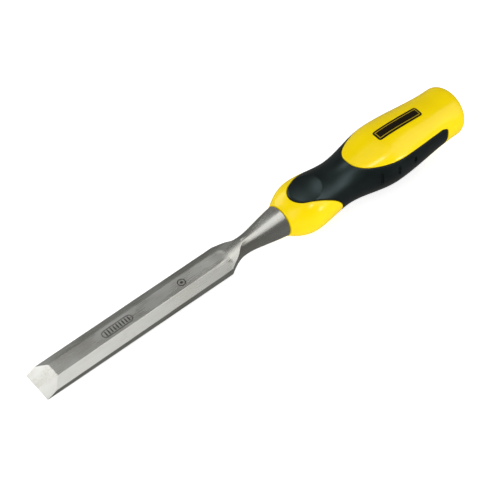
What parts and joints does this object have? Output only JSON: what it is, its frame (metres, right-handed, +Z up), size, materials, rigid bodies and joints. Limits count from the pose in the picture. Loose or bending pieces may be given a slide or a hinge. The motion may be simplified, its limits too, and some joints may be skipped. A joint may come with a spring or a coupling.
{
  "type": "bench chisel",
  "caption": "Bevel-edge bench chisel with a conical bolster and a waisted hard handle that carries a soft rubber grip.",
  "frame": {"origin": "centre of the bounding box in X and Y, on the bench that the chisel lies on", "axes": "+X from the cutting edge to the butt, +Z up from the bench, +Y to the left of someone looking along +X"},
  "size_m": [0.2436, 0.031, 0.0326],
  "materials": {
    "tool_steel": "satin ground",
    "yellow_plastic": "glossy moulded",
    "grip_rubber": "satin moulded",
    "badge_ink": "semi-matte"
  },
  "bodies": {
    "root": {"blade": "tool_steel", "handle_core": "yellow_plastic", "grip_sleeve": "grip_rubber", "badge_plate": "badge_ink"}
  },
  "joints": []
}
